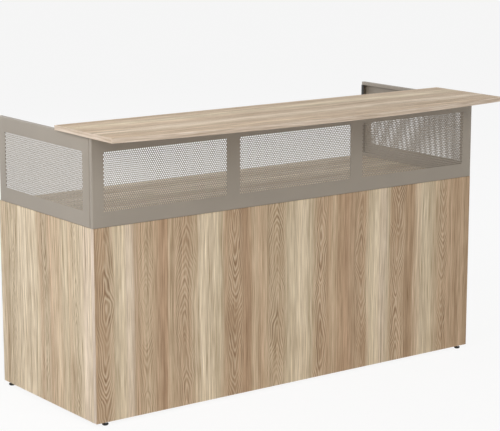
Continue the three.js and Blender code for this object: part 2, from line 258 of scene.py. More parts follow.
def makeGrainWander(spec):
    # the strips drift to the side along the board, and their borders fray into single fibres
    group, inputs, outputs = newGroup("grainWander", [
        ("Across", "Float", 0.0), ("Along", "Float", 0.0), ("Seed", "Float", 0.0),
        ("Amount", "Float", 0.01), ("Fray", "Float", 0.05)],
        [("Across", "Float"), ("Frayed", "Float")])

    def drift(acrossScale, alongScale):
        spot = joinXyz(group, maths(group, "MULTIPLY", inputs["Across"], acrossScale),
                       maths(group, "MULTIPLY", inputs["Along"], alongScale), inputs["Seed"])
        return maths(group, "SUBTRACT", cloud(group, spot, 1.0, 1.0), 0.5)

    sway = maths(group, "MULTIPLY_ADD", drift(*spec["quick"]), spec["quickShare"], drift(*spec["slow"]))
    across = maths(group, "MULTIPLY_ADD", sway, inputs["Amount"], inputs["Across"])
    group.links.new(across, outputs["Across"])
    fibre = maths(group, "ADD", *[drift(*scales) for scales in spec["fibres"]])
    group.links.new(maths(group, "MULTIPLY_ADD", fibre, inputs["Fray"], across), outputs["Frayed"])
    return group

grainSpec = {
    # nested arches
    "sway": (5, 9.0), "swayReach": 0.016, "ridgeRadius": 0.0025,
    "eyeRadius": 0.025, "ringLength": 0.042, "ringsAcross": 72.0, "ringsSquared": 650.0,
    "bulge": (4, 3.6), "bulgeRings": 8.0, "ripple": (70, 9), "rippleRings": 0.9,
    "ringPhase": 0.25, "ringVaries": 0.75, "ringLeast": 0.15, "darkPower": 2.0, "palePower": 2.5,
    "sideFade": (0.6, 1.3), "core": (4, 3.5), "coreFade": (-0.06, 0.16),
    "gaps": (20, 5), "gapFade": (-0.2, 0.1, 0.3, 1.0),
    "coreTint": (0.72, 0.64, 0.56), "coreShare": 0.5, "darkTint": (0.54, 0.46, 0.39), "paleShare": 0.6,
    # straight grain in three widths
    "wide": (32, 1.0), "middle": (130, 2.6), "fine": (330, 9.0, 3.0),
    "wideShare": 0.5, "middleShare": 0.7, "fineShare": 0.9, "gains": (1.15, 1.35, 1.6),
    "warmTint": (1.03, 0.985, 0.93), "warmFade": (-0.25, 0.25, 0.0, 0.35),
    # pores and surface
    "pores": (1500, 70, 1.0), "poreFade": (0.13, 0.26), "poreShare": 0.30, "poreTint": (0.74, 0.68, 0.62),
    "roughness": 0.5, "roughGrain": -0.12, "roughPores": 0.08, "poreDepth": -0.8, "lineDepth": -0.4,
}

def makeLaminateGrain(spec):
    group, inputs, outputs = newGroup("laminateGrain", [
        ("Across", "Float", 0.0), ("Along", "Float", 0.0), ("Seed", "Float", 0.0),
        ("Tone", "Color", (0.5, 0.4, 0.3, 1)), ("Figure", "Float", 0.0), ("Centre", "Float", 0.0),
        ("Half Width", "Float", 0.03), ("Eye", "Float", 0.0), ("Saddle", "Float", -1.0),
        ("Contrast", "Float", 1.0)],
        [("Color", "Color"), ("Roughness", "Float"), ("Height", "Float")])
    across, along, seed = inputs["Across"], inputs["Along"], inputs["Seed"]

    def times(a, b):
        return maths(group, "MULTIPLY", a, b)

    def timesAdd(a, b, c):
        return maths(group, "MULTIPLY_ADD", a, b, c)

    def less(a, b):
        return maths(group, "SUBTRACT", a, b)

    def streak(name):
        acrossScale, alongScale, *detail = spec[name]
        spot = joinXyz(group, times(across, acrossScale), times(along, alongScale), seed)
        return less(cloud(group, spot, 1.0, *detail), 0.5)

    def rounded(value, radius):
        return maths(group, "SQRT", timesAdd(value, value, radius * radius))

    def tint(colour, amount, name):
        return blendColour(group, amount, colour, spec[name], "MULTIPLY")

    # nested arches: distance from the figure's middle line plus distance from its eye, steeper at the sides
    offset = less(across, inputs["Centre"])
    offset = timesAdd(streak("sway"), spec["swayReach"], offset)
    away = rounded(offset, spec["ridgeRadius"])
    span = less(inputs["Eye"], inputs["Saddle"])
    rise = less(maths(group, "ABSOLUTE", less(along, inputs["Saddle"])), span)
    rings = maths(group, "DIVIDE", rounded(rise, spec["eyeRadius"]), spec["ringLength"])
    rings = timesAdd(away, spec["ringsAcross"], rings)
    rings = timesAdd(times(away, away), spec["ringsSquared"], rings)
    rings = timesAdd(streak("bulge"), spec["bulgeRings"], rings)
    rings = timesAdd(streak("ripple"), spec["rippleRings"], rings)
    wave = timesAdd(maths(group, "SINE", times(rings, 2 * math.pi)), 0.5, 0.5)

    # each ring has its own strength, and the figure fades out at its sides and in gaps
    year = group.nodes.new("ShaderNodeTexWhiteNoise")
    year.noise_dimensions = "1D"
    group.links.new(maths(group, "FLOOR", maths(group, "ADD", rings, spec["ringPhase"])), year.inputs["W"])
    strength = timesAdd(year.outputs["Value"], spec["ringVaries"], spec["ringLeast"])
    side = maths(group, "DIVIDE", maths(group, "ABSOLUTE", offset), inputs["Half Width"])
    reach = times(smoothRange(group, side, *spec["sideFade"], 1.0, 0.0), inputs["Figure"])
    core = times(reach, smoothRange(group, streak("core"), *spec["coreFade"]))
    reach = times(reach, smoothRange(group, streak("gaps"), *spec["gapFade"]))
    darkLine = times(times(maths(group, "POWER", wave, spec["darkPower"]), reach), strength)
    paleLine = times(maths(group, "POWER", less(1.0, wave), spec["palePower"]), reach)

    wide, fine = streak("wide"), streak("fine")
    straight = timesAdd(streak("middle"), spec["middleShare"], times(wide, spec["wideShare"]))
    straight = times(timesAdd(fine, spec["fineShare"], straight), inputs["Contrast"])
    shade = [timesAdd(straight, gain, 1.0) for gain in spec["gains"]]
    colour = blendColour(group, 1.0, inputs["Tone"], joinXyz(group, *shade), "MULTIPLY")
    colour = tint(colour, smoothRange(group, wide, *spec["warmFade"]), "warmTint")
    colour = tint(colour, times(core, spec["coreShare"]), "coreTint")
    colour = tint(colour, darkLine, "darkTint")
    colour = blendColour(group, times(paleLine, spec["paleShare"]), colour, tones["pale"])
    pores = smoothRange(group, streak("pores"), *spec["poreFade"])
    colour = tint(colour, times(pores, spec["poreShare"]), "poreTint")
    group.links.new(colour, outputs["Color"])
    rough = timesAdd(straight, spec["roughGrain"], spec["roughness"])
    group.links.new(timesAdd(pores, spec["roughPores"], rough), outputs["Roughness"])
    height = timesAdd(pores, spec["poreDepth"], fine)
    group.links.new(timesAdd(darkLine, spec["lineDepth"], height), outputs["Height"])
    return group

grainWander = makeGrainWander(wanderSpec)
laminateGrain = makeLaminateGrain(grainSpec)

def fillRamp(tree, position, stops, kind):
    node = tree.nodes.new("ShaderNodeValToRGB")
    ramp = node.color_ramp
    ramp.interpolation = kind
    while len(ramp.elements) > 1:
        ramp.elements.remove(ramp.elements[-1])
    for index, (place, colour) in enumerate(stops):
        item = ramp.elements[0] if index == 0 else ramp.elements.new(place)
        item.position = place
        item.color = colour
    tree.links.new(position, node.inputs[0])
    return node.outputs

def halves(stops, width, kind):
    # a ramp holds 32 stops, so a wide board takes two
    def at(place):
        before = [s for s in stops if s[0] <= place][-1]
        after = ([s for s in stops if s[0] > place] or [before])[0]
        share = (place - before[0]) / (after[0] - before[0]) if kind == "LINEAR" and after[0] > before[0] else 0
        return tuple(a + (b - a) * share for a, b in zip(before[1], after[1]))
    middle = width / 2
    low = [(p / middle, c) for p, c in stops if p < middle] + [(1.0, at(middle))]
    high = [(0.0, at(middle))] + [((p - middle) / middle, c) for p, c in stops if p > middle]
    return low, high

def twoRamps(tree, across, stops, width, kind):
    low, high = halves(stops, width, kind)
    scaled = maths(tree, "DIVIDE", across, width / 2)
    first = fillRamp(tree, scaled, low, kind)
    second = fillRamp(tree, maths(tree, "SUBTRACT", scaled, 1.0), high, kind)
    past = maths(tree, "GREATER_THAN", scaled, 1.0)
    colour = blendColour(tree, past, first[0], second[0])
    alpha = maths(tree, "MULTIPLY_ADD", maths(tree, "SUBTRACT", second[1], first[1]), past, first[1])
    return colour, alpha

woodFinish = {"bump": 0.12, "bumpDistance": 0.0004, "specular": 0.3}

# a figure's numbers travel in a ramp's colour, so they are scaled to lie between 0 and 1
figureCode = {"lowest": -2.0, "span": 5.0, "widest": 100, "leastHalf": 0.01}

def woodMaterial(name, spec):
    material, tree, shader = newMaterial(name)
    spot = splitXyz(tree, tree.nodes.new("ShaderNodeTexCoord").outputs["Object"])
    axes = {"X": spot[0], "Y": spot[1], "Z": spot[2]}
    across = maths(tree, "SUBTRACT", axes[spec["across"]], spec["from"])
    if spec.get("flip"):
        across = maths(tree, "SUBTRACT", spec["width"], across)
    along = axes[spec["along"]]
    drifted = useGroup(tree, grainWander, across=across, along=along, seed=spec["seed"],
                       amount=spec["wander"], fray=spec["fray"])
    across = drifted["Across"]
    toneStops = [(place / 1000, (*tones[tone], 1.0)) for place, tone in spec["strips"]]
    tone, unused = twoRamps(tree, drifted["Frayed"], toneStops, spec["width"], "LINEAR")
    lowest, levels, widest = figureCode["lowest"], figureCode["span"], figureCode["widest"]
    figureStops, strengthStops = [(0.0, (0, 0, 0, 0))], [(0.0, (0, 0, 0, 1))]
    for start, end, centre, half, eye, saddle, strength in spec["figures"]:
        coded = (centre / 1000 / spec["width"], (eye - lowest) / levels, (saddle - lowest) / levels, half / widest)
        figureStops.append((start / 1000, coded))
        strengthStops += [(start / 1000, (strength, 0, 0, 1)), (end / 1000, (0, 0, 0, 1))]
    place, half = twoRamps(tree, across, figureStops, spec["width"], "CONSTANT")
    strength, unused = twoRamps(tree, across, strengthStops, spec["width"], "CONSTANT")
    coded = splitXyz(tree, place)
    grain = useGroup(
        tree, laminateGrain, across=across, along=along, seed=spec["seed"], tone=tone,
        figure=splitXyz(tree, strength)[0], centre=maths(tree, "MULTIPLY", coded[0], spec["width"]),
        halfWidth=maths(tree, "MAXIMUM", maths(tree, "MULTIPLY", half, widest / 1000), figureCode["leastHalf"]),
        eye=maths(tree, "MULTIPLY_ADD", coded[1], levels, lowest),
        saddle=maths(tree, "MULTIPLY_ADD", coded[2], levels, lowest), contrast=spec["contrast"])
    tree.links.new(grain["Color"], shader.inputs["Base Color"])
    tree.links.new(grain["Roughness"], shader.inputs["Roughness"])
    addBump(tree, shader, grain["Height"], woodFinish["bump"], woodFinish["bumpDistance"])
    shader.inputs["Specular IOR Level"].default_value = woodFinish["specular"]
    return material

# places in mm from the board's left edge; a figure is start, end, middle, half width, eye, saddle, strength
frontLaminate = {
    "across": "X", "from": -0.9145, "width": 1.829, "along": "Z",
    "seed": 3.0, "wander": 0.032, "fray": 0.05, "contrast": 1.15,
    "strips": [
        (0, "brown"), (40, "brown"), (62, "tan"), (85, "ash"), (125, "pale"), (152, "rose"), (182, "tan"),
        (235, "sand"), (262, "tan"), (290, "russet"), (310, "russet"), (322, "sand"), (365, "tan"),
        (410, "tan"), (436, "sand"), (460, "pale"), (520, "pale"), (545, "ash"), (574, "tan"),
        (596, "brown"), (640, "brown"), (672, "russet"), (688, "brown"), (708, "sand"), (745, "tan"),
        (790, "sand"), (842, "sand"), (880, "ash"), (945, "pale"), (985, "ash"), (1022, "brown"),
        (1048, "tan"), (1078, "brown"), (1098, "sand"), (1125, "brown"), (1172, "russet"), (1204, "tan"),
        (1264, "brown"), (1288, "ash"), (1335, "pale"), (1358, "rose"), (1388, "ash"), (1410, "brown"),
        (1456, "tan"), (1504, "dark"), (1520, "tan"), (1568, "pale"), (1608, "ash"), (1648, "sand"),
        (1690, "brown"), (1728, "tan"), (1762, "brown"), (1790, "tan"), (1829, "dark")],
    "figures": [
        (0, 84, 45, 36, 0.45, -1.5, 1.0), (180, 258, 222, 34, 0.46, 0.10, 0.6),
        (305, 440, 395, 46, -0.3, -1.5, 0.75), (575, 662, 617, 38, 1.2, -0.8, 1.0),
        (735, 880, 822, 42, -0.3, -1.5, 1.0), (995, 1078, 1037, 34, 0.60, 0.38, 1.0),
        (1208, 1284, 1246, 34, 0.47, -0.6, 0.65), (1392, 1486, 1436, 38, 0.95, 0.27, 1.0),
        (1646, 1720, 1682, 32, 1.1, -0.8, 0.75)],
}
leftLaminate = {
    "across": "Y", "from": -0.2345, "width": 0.695, "along": "Z",
    "seed": 11.0, "wander": 0.03, "fray": 0.045, "contrast": 1.5,
    "strips": [
        (0, "ash"), (60, "rose"), (100, "ash"), (130, "ash"), (165, "sand"), (200, "ash"), (245, "sand"),
        (285, "sand"), (312, "tan"), (345, "ash"), (380, "tan"), (410, "ash"), (440, "pale"), (530, "pale"),
        (556, "pale"), (590, "ash"), (625, "ash"), (660, "sand"), (695, "pale")],
    "figures": [
        (88, 170, 127, 34, -0.3, -1.5, 0.75), (312, 400, 354, 36, 0.645, 0.42, 0.8),
        (550, 640, 592, 34, 0.5, 0.15, 0.6)],
}
rightLaminate = dict(
    leftLaminate, flip=True, seed=17.0,
    figures=[
        (88, 170, 130, 34, 1.1, -0.8, 0.75), (312, 400, 350, 36, 0.3, -0.9, 0.9),
        (550, 640, 596, 34, -0.3, -1.5, 0.6)])
topLaminate = {
    "across": "Y", "from": -0.4605, "width": 0.46, "along": "X",
    "seed": 23.0, "wander": 0.03, "fray": 0.045, "contrast": 1.5,
    "strips": [
        (0, "sand"), (40, "tan"), (75, "sand"), (110, "tan"), (150, "sand"), (190, "rose"), (225, "sand"),
        (262, "tan"), (300, "sand"), (345, "ash"), (390, "sand"), (430, "tan"), (460, "sand")],
    "figures": [
        (85, 165, 125, 34, -0.55, -1.9, 0.4), (235, 300, 266, 28, 0.35, -0.5, 0.45),
        (405, 460, 432, 26, 1.2, -0.6, 0.4)],
}
# worksurface strips, paler than the top's: painted light, standing in for the light that reaches the worksurface under
# the counter and shows through the windows
workLaminate = {
    "across": "Y", "from": -0.2345, "width": 0.70, "along": "X",
    "seed": 31.0, "wander": 0.03, "fray": 0.045, "contrast": 1.5,
    "strips": [
        (0, "ash"), (60, "pale"), (110, "rose"), (160, "sand"), (205, "pale"), (260, "pale"), (315, "rose"),
        (350, "sand"), (400, "ash"), (440, "pale"), (520, "rose"), (560, "ash"), (600, "sand"),
        (640, "rose"), (700, "pale")],
    "figures": [
        (120, 200, 160, 34, -0.4, -1.9, 0.6), (320, 400, 358, 34, 0.4, -0.2, 0.6),
        (555, 640, 598, 34, 1.2, -0.6, 0.6)],
}

bandGrain = {
    "tone": linear(219, 202, 184), "streak": linear(193, 169, 146), "seed": 41.0, "lean": 1.7,
    "lineScales": (240, 3.0), "lineSeed": 5.0, "lineFade": (0.45, 0.75, 0.0, 0.6),
    "bump": 0.1, "bumpDistance": 0.0003, "specular": 0.3,
}

def bandMaterial(name, along):
    # edge strip: plain straight grain along its length, paler than the faces
    material, tree, shader = newMaterial(name)
    spot = splitXyz(tree, tree.nodes.new("ShaderNodeTexCoord").outputs["Object"])
    first, second, length = [spot[i] for i in {"X": (1, 2, 0), "Y": (0, 2, 1), "Z": (0, 1, 2)}[along]]
    # the long front strip is bowed, so its grain follows the height alone
    across = second if along == "X" else maths(tree, "MULTIPLY_ADD", first, bandGrain["lean"], second)
    grain = useGroup(tree, laminateGrain, across=across, along=length, seed=bandGrain["seed"],
                     tone=bandGrain["tone"], figure=0.0, contrast=1.0)
    acrossScale, lengthScale = bandGrain["lineScales"]
    lineSpot = joinXyz(tree, maths(tree, "MULTIPLY", across, acrossScale),
                       maths(tree, "MULTIPLY", length, lengthScale), bandGrain["lineSeed"])
    lines = smoothRange(tree, cloud(tree, lineSpot), *bandGrain["lineFade"])
    colour = blendColour(tree, lines, grain["Color"], bandGrain["streak"])
    tree.links.new(colour, shader.inputs["Base Color"])
    tree.links.new(grain["Roughness"], shader.inputs["Roughness"])
    addBump(tree, shader, grain["Height"], bandGrain["bump"], bandGrain["bumpDistance"])
    shader.inputs["Specular IOR Level"].default_value = bandGrain["specular"]
    return material

frontWood = woodMaterial("frontLaminate", frontLaminate)
leftWood = woodMaterial("leftLaminate", leftLaminate)
rightWood = woodMaterial("rightLaminate", rightLaminate)
topWood = woodMaterial("topLaminate", topLaminate)
workWood = woodMaterial("workLaminate", workLaminate)
uprightBand = bandMaterial("uprightBand", "Z")
lengthBand = bandMaterial("lengthBand", "X")
depthBand = bandMaterial("depthBand", "Y")


# paint, plastic and plated steel

coatSpec = {
    "peelDetail": 1.5, "peelTone": 0.10, "patchScale": 5.5, "patchDetail": 3.0, "patchTone": 0.16, "patchRough": 0.18,
    "speckScale": 240.0, "speckFade": (0.42, 0.75), "settleFade": (0.5, 1.0, 0.12, 1.0),
    "dustColour": (0.55, 0.52, 0.48), "dustRough": 0.4, "bumpDistance": 0.0003,
}

def makeCoatTexture(spec):
    # orange peel, faint cloudiness and dust for sprayed and moulded surfaces
    group, inputs, outputs = newGroup("coatTexture", [
        ("Vector", "Vector", None), ("Tone", "Color", (0.2, 0.2, 0.2, 1)), ("Dust", "Float", 0.1),
        ("Peel", "Float", 700.0), ("Gloss", "Float", 0.45)],
        [("Color", "Color"), ("Roughness", "Float"), ("Height", "Float")])
    peel = group.nodes.new("ShaderNodeTexNoise")
    group.links.new(inputs["Vector"], peel.inputs["Vector"])
    group.links.new(inputs["Peel"], peel.inputs["Scale"])
    peel.inputs["Detail"].default_value = spec["peelDetail"]
    patch = maths(group, "SUBTRACT", cloud(group, inputs["Vector"], spec["patchScale"], spec["patchDetail"]), 0.5)
    speck = smoothRange(group, cloud(group, inputs["Vector"], spec["speckScale"]), *spec["speckFade"])
    lift = maths(group, "MULTIPLY_ADD", patch, spec["patchTone"], 1.0)
    lift = maths(group, "MULTIPLY_ADD", maths(group, "SUBTRACT", peel.outputs[0], 0.5), spec["peelTone"], lift)
    colour = blendColour(group, 1.0, inputs["Tone"], joinXyz(group, lift, lift, lift), "MULTIPLY")
    facing = splitXyz(group, group.nodes.new("ShaderNodeNewGeometry").outputs["Normal"])[2]
    settled = smoothRange(group, facing, *spec["settleFade"])
    dust = maths(group, "MULTIPLY", maths(group, "MULTIPLY", speck, settled), inputs["Dust"])
    group.links.new(blendColour(group, dust, colour, spec["dustColour"]), outputs["Color"])
    rough = maths(group, "MULTIPLY_ADD", patch, spec["patchRough"], inputs["Gloss"])
    group.links.new(maths(group, "MULTIPLY_ADD", dust, spec["dustRough"], rough, True), outputs["Roughness"])
    group.links.new(peel.outputs[0], outputs["Height"])
    return group

coatTexture = makeCoatTexture(coatSpec)

def coatMaterial(name, spec):
    material, tree, shader = newMaterial(name)
    spot = tree.nodes.new("ShaderNodeTexCoord").outputs["Object"]
    coat = useGroup(tree, coatTexture, vector=spot, tone=spec["tone"], dust=spec["dust"],
                    peel=spec["peel"], gloss=spec["gloss"])
    tree.links.new(coat["Color"], shader.inputs["Base Color"])
    tree.links.new(coat["Roughness"], shader.inputs["Roughness"])
    shader.inputs["Metallic"].default_value = spec.get("metal", 0.0)
    addBump(tree, shader, coat["Height"], spec["bump"], coatSpec["bumpDistance"])
    return material

finishes = {
    "screenPaint": {"tone": linear(162, 153, 141), "dust": 0.10, "peel": 900.0, "gloss": 0.46, "bump": 0.10},
    "bracketPaint": {"tone": linear(46, 45, 46), "dust": 0.12, "peel": 800.0, "gloss": 0.5, "bump": 0.16},
    "blackPlastic": {"tone": linear(24, 23, 22), "dust": 0.08, "peel": 1400.0, "gloss": 0.55, "bump": 0.25},
    "zincPlate": {
        "tone": linear(196, 198, 200), "dust": 0.05, "peel": 600.0, "gloss": 0.34, "bump": 0.05, "metal": 1.0},
}
screenPaint = coatMaterial("screenPaint", finishes["screenPaint"])
bracketPaint = coatMaterial("bracketPaint", finishes["bracketPaint"])
blackPlastic = coatMaterial("blackPlastic", finishes["blackPlastic"])
zincPlate = coatMaterial("zincPlate", finishes["zincPlate"])

def finishFor(name):
    if name.endswith("edge_band"):
        if name.startswith(("front_panel", "left_end", "right_end")):
            return uprightBand
        return depthBand if name in ("top_left_edge_band", "top_right_edge_band") else lengthBand
    boards = {"front_panel": frontWood, "left_end_panel": leftWood, "right_end_panel": rightWood,
              "transaction_top": topWood, "worksurface": workWood}
    if name in boards:
        return boards[name]
    if name.endswith(("_trim", "_pad")):
        return blackPlastic
    if name.endswith("_screen") or name.startswith("mullion_post"):
        return screenPaint
    if name.endswith(("_rail", "_angle", "_stiffener")) or name.startswith("top_bracket"):
        return bracketPaint
    return zincPlate

def setFinish(piece, material):
    piece.data.materials.clear()
    piece.data.materials.append(material)

for name, node in nodes.items():
    setFinish(node, finishFor(name))
print("finishes set on", len(nodes), "nodes")


def newPiece(name, vertices, faces, material, body="desk", smooth=None):
    mesh = bpy.data.meshes.new(name)
    mesh.from_pydata(vertices, [], faces)
    mesh.update()
    if smooth is not None:
        mesh.polygons.foreach_set("use_smooth", [True] * len(mesh.polygons))
        mesh.set_sharp_from_angle(angle=math.radians(smooth))
    mesh.materials.append(material)
    piece = bpy.data.objects.new(name, mesh)
    bpy.context.scene.collection.objects.link(piece)
    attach(piece, body)
    return piece


# perforated screens

screens = {
    "sheet": 0.0015, "bend": 0.0026, "bendSteps": 4, "lip": 0.012,
    "holeDiameter": 0.0061, "rows": 30, "frontColumns": 64, "endColumns": 68,
    "windowBottom": 0.056, "windowHeight": 0.217, "sideBorder": 0.046, "mullion": 0.057,
    "windowSheet": 0.001,        # the punched sheet is thinner
    "seam": 0.0018,              # open seam at the front corners
    "smooth": 35,
}

def punchedWindow(area, columns, spec):
    # staggered round holes; each sits in a cell whose corners meet the next rows' cells
    left, right, low, high = area
    rows = spec["rows"]
    pitch = (right - left) / (columns + 0.5)
    rowPitch = (high - low) / rows
    radius = spec["holeDiameter"] / 2 * math.sqrt(math.pi / math.sqrt(8))        # same area as the round hole
    across = 2 * columns + 2
    grid = [(left + k * pitch / 2, low + j * rowPitch) for j in range(rows + 1) for k in range(across)]
    turn = [(radius * math.cos(i * math.pi / 4), radius * math.sin(i * math.pi / 4)) for i in range(8)]
    holes, cells, plain = [], [], []
    for row in range(rows):
        shift = row % 2
        for column in range(columns):
            start = row * across + 2 * column + shift
            middle = (left + (2 * column + shift + 1) * pitch / 2, low + (row + 0.5) * rowPitch)
            first = len(grid) + len(holes)
            holes += [(middle[0] + x, middle[1] + z) for x, z in turn]
            cells.append((start, first))
        edge = row * across + (0 if shift else 2 * columns)
        plain.append((edge, edge + 1, edge + 1 + across, edge + across))
    flat = grid + holes
    count = len(flat)
    vertices = [(u, v, 0.0) for u, v in flat] + [(u, v, spec["windowSheet"]) for u, v in flat]
    outside = list(plain)
    walls = []
    for start, first in cells:
        low0, low1, low2 = start, start + 1, start + 2
        high0, high1, high2 = start + across, start + across + 1, start + across + 2
        east, northEast, north, northWest, west, southWest, south, southEast = range(first, first + 8)
        outside += [
            (low2, high2, northEast, east, southEast), (high0, low0, southWest, west, northWest),
            (high2, high1, north, northEast), (high1, high0, northWest, north),
            (low0, low1, south, southWest), (low1, low2, southEast, south)]
        for i in range(8):
            a, b = first + i, first + (i + 1) % 8
            walls.append((a, b, b + count, a + count))
    inside = [tuple(i + count for i in reversed(face)) for face in outside]
    lastRow = rows * across
    border = list(range(across)) + [j * across - 1 for j in range(2, rows + 2)]
    border += [lastRow + k for k in range(across - 2, -1, -1)] + [j * across for j in range(rows - 1, 0, -1)]
    for a, b in zip(border, border[1:] + border[:1]):
        walls.append((b, a, a + count, b + count))
    return vertices, outside + inside + walls

def foldedRim(width, height, depth, us, vs, spec):
    # bend, flange, second bend and return lip, carried round the four sides with mitred corners
    bend, sheet, steps = spec["bend"], spec["sheet"], spec["bendSteps"]
    reach = sheet + spec["lip"]
    def corner(centreN, centreW, radius, start):
        angles = [math.radians(start + 90 * i / steps) for i in range(steps + 1)]
        return [(centreN + radius * math.sin(a), centreW - radius * math.cos(a)) for a in angles]
    outer = corner(-bend, bend, bend, 0) + corner(-bend, depth - bend, bend, 90) + [(-reach, depth)]
    inner = corner(-bend, bend, bend - sheet, 0) + corner(-bend, depth - bend, bend - sheet, 90)
    inner.append((-reach, depth - sheet))
    profile = outer + inner[::-1]
    vertices, faces = [], []
    along, up = us[1:-1], vs[1:-1]
    for n, w in profile:
        ring = [(-n, -n)] + [(u, -n) for u in along] + [(width + n, -n)] + [(width + n, v) for v in up]
        ring += [(width + n, height + n)] + [(u, height + n) for u in along[::-1]]
        ring += [(-n, height + n)] + [(-n, v) for v in up[::-1]]
        vertices += [(u, v, w) for u, v in ring]
    count = len(ring)
    for step in range(len(profile) - 1):
        for i in range(count):
            a, b = step * count + i, step * count + (i + 1) % count
            faces.append((a, b, b + count, a + count))
    return vertices, faces

def framedPlate(us, vs, windows, sheet):
    # flat face inside the bends, open at the windows, with the windows' edges closed
    def isOpen(i, j):
        return j == 1 and 0 <= i < len(us) and any(abs(us[i] - w[0]) < 1e-7 for w in windows)
    index = lambda i, j: j * len(us) + i
    flat = [(u, v) for v in vs for u in us]
    count = len(flat)
    vertices = [(u, v, 0.0) for u, v in flat] + [(u, v, sheet) for u, v in flat]
    solid = {(i, j) for j in range(3) for i in range(len(us) - 1) if not isOpen(i, j)}
    faces = []
    for i, j in sorted(solid):
        ring = [index(i, j), index(i + 1, j), index(i + 1, j + 1), index(i, j + 1)]
        faces.append(tuple(ring))
        faces.append(tuple(k + count for k in reversed(ring)))
        beside = [(i, j - 1), (i + 1, j), (i, j + 1), (i - 1, j)]
        for side, other in enumerate(beside):
            if isOpen(*other):
                a, b = ring[side], ring[(side + 1) % 4]
                faces.append((b, a, a + count, b + count))
    return vertices, faces

def welded(vertices, faces):
    # points that fall together become one
    spots, order, kept = {}, [], []
    for point in vertices:
        key = tuple(round(c * 1e6) for c in point)
        if key not in spots:
            spots[key] = len(kept)
            kept.append(point)
        order.append(spots[key])
    return kept, [tuple(order[i] for i in face) for face in faces]

def makeScreen(name, windows, columns, place, flipped, spec, seam=0.0):
    # place carries sheet coordinates (along, up, inward) into the desk
    low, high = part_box(name)
    width = max(high[0] - low[0], high[1] - low[1]) - seam
    height, depth = high[2] - low[2], min(high[0] - low[0], high[1] - low[1])
    turned = lambda faces: [tuple(reversed(f)) for f in faces] if flipped else faces
    us = sorted({spec["bend"], width - spec["bend"], *[w[0] for w in windows], *[w[1] for w in windows]})
    vs = [spec["bend"], windows[0][2], windows[0][3], height - spec["bend"]]
    rim, rimFaces = foldedRim(width, height, depth, us, vs, spec)
    plate, plateFaces = framedPlate(us, vs, windows, spec["sheet"])
    faces = turned([tuple(reversed(f)) for f in rimFaces] + [tuple(k + len(rim) for k in f) for f in plateFaces])
    points, faces = welded(rim + plate, faces)
    pan = newPiece(name + "_pan", [place(*p) for p in points], faces, screenPaint,
                   smooth=spec["smooth"])
    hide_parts(name)
    for number, window in enumerate(windows, 1):
        points, faces = punchedWindow(window, columns, spec)
        newPiece(f"{name}_window_{number}", [place(*p) for p in points], turned(faces), screenPaint)

def makeScreens(spec):
    low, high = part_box("front_screen")
    bottom, top = spec["windowBottom"], spec["windowBottom"] + spec["windowHeight"]
    border, mullion = spec["sideBorder"], spec["mullion"]
    step = (high[0] - low[0] - 2 * border + mullion) / 3
    windows = [(border + i * step, border + (i + 1) * step - mullion, bottom, top) for i in range(3)]
    x0, y0, z0 = low
    frontPlace = lambda u, v, w: (x0 + u, y0 + w, z0 + v)
    makeScreen("front_screen", windows, spec["frontColumns"], frontPlace, False, spec)
    for side, sign in (("left", 1), ("right", -1)):
        low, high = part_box(side + "_end_screen")
        outer = low[0] if sign > 0 else high[0]
        start, base = low[1] + spec["seam"], low[2]
        window = [(border - spec["seam"], high[1] - start - border, bottom, top)]
        endPlace = lambda u, v, w: (outer + sign * w, start + u, base + v)
        makeScreen(side + "_end_screen", window, spec["endColumns"], endPlace, sign > 0, spec, spec["seam"])

makeScreens(screens)
print("perforated screens made")


# eased corners on bands, trims and bent steel, so that they catch the light

easing = {
    "bandRadius": 0.0011, "steelRadius": 0.0006, "trimRadius": 0.0005, "segments": 3, "smooth": 40,
    "weld": 1e-6, "flatAngle": 0.2, "cornerAngle": 50, "facing": 0.7,
    "bands": {
        "top_front_edge_band": (0, -1, 0), "top_rear_edge_band": (0, 1, 0),
        "top_left_edge_band": (-1, 0, 0), "top_right_edge_band": (1, 0, 0),
        "front_panel_left_edge_band": (-1, 0, 0), "front_panel_right_edge_band": (1, 0, 0),
        "left_end_panel_rear_edge_band": (0, 1, 0), "right_end_panel_rear_edge_band": (0, 1, 0),
        "worksurface_rear_edge_band": (0, 1, 0)},
    "steel": [
        "left_worksurface_rail", "right_worksurface_rail", "left_front_angle", "right_front_angle",
        "worksurface_stiffener", "top_bracket_1", "top_bracket_2"],
    "trims": ["left_end_screen_trim", "right_end_screen_trim"],
}

def easedCopy(name, radius, outward=None):
    # outward keeps the easing to the corners of the outer face
    work = bmesh.new()
    work.from_mesh(nodes[name].data)
    bmesh.ops.remove_doubles(work, verts=work.verts, dist=easing["weld"])
    bmesh.ops.dissolve_limit(work, angle_limit=math.radians(easing["flatAngle"]), verts=work.verts, edges=work.edges)
    sharpest = math.radians(easing["cornerAngle"])
    def isCorner(edge):
        if not edge.is_manifold or not edge.is_convex or edge.calc_face_angle() < sharpest:
            return False
        if outward is None:
            return True
        return any(face.normal.dot(Vector(outward)) > easing["facing"] for face in edge.link_faces)
    corners = [edge for edge in work.edges if isCorner(edge)]
    bmesh.ops.bevel(work, geom=corners, offset=radius, offset_type="OFFSET", segments=easing["segments"],
                    profile=0.5, affect="EDGES", clamp_overlap=True)
    vertices = [v.co.copy() for v in work.verts]
    work.verts.index_update()
    faces = [tuple(v.index for v in face.verts) for face in work.faces]
    work.free()
    piece = newPiece(name + "_eased", vertices, faces, finishFor(name), smooth=easing["smooth"])
    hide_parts(name)

for name, outward in easing["bands"].items():
    easedCopy(name, easing["bandRadius"], outward)
for name in easing["steel"]:
    easedCopy(name, easing["steelRadius"])
for name in easing["trims"]:
    easedCopy(name, easing["trimRadius"])
print("corners eased")


# pan-head screws with a cross recess

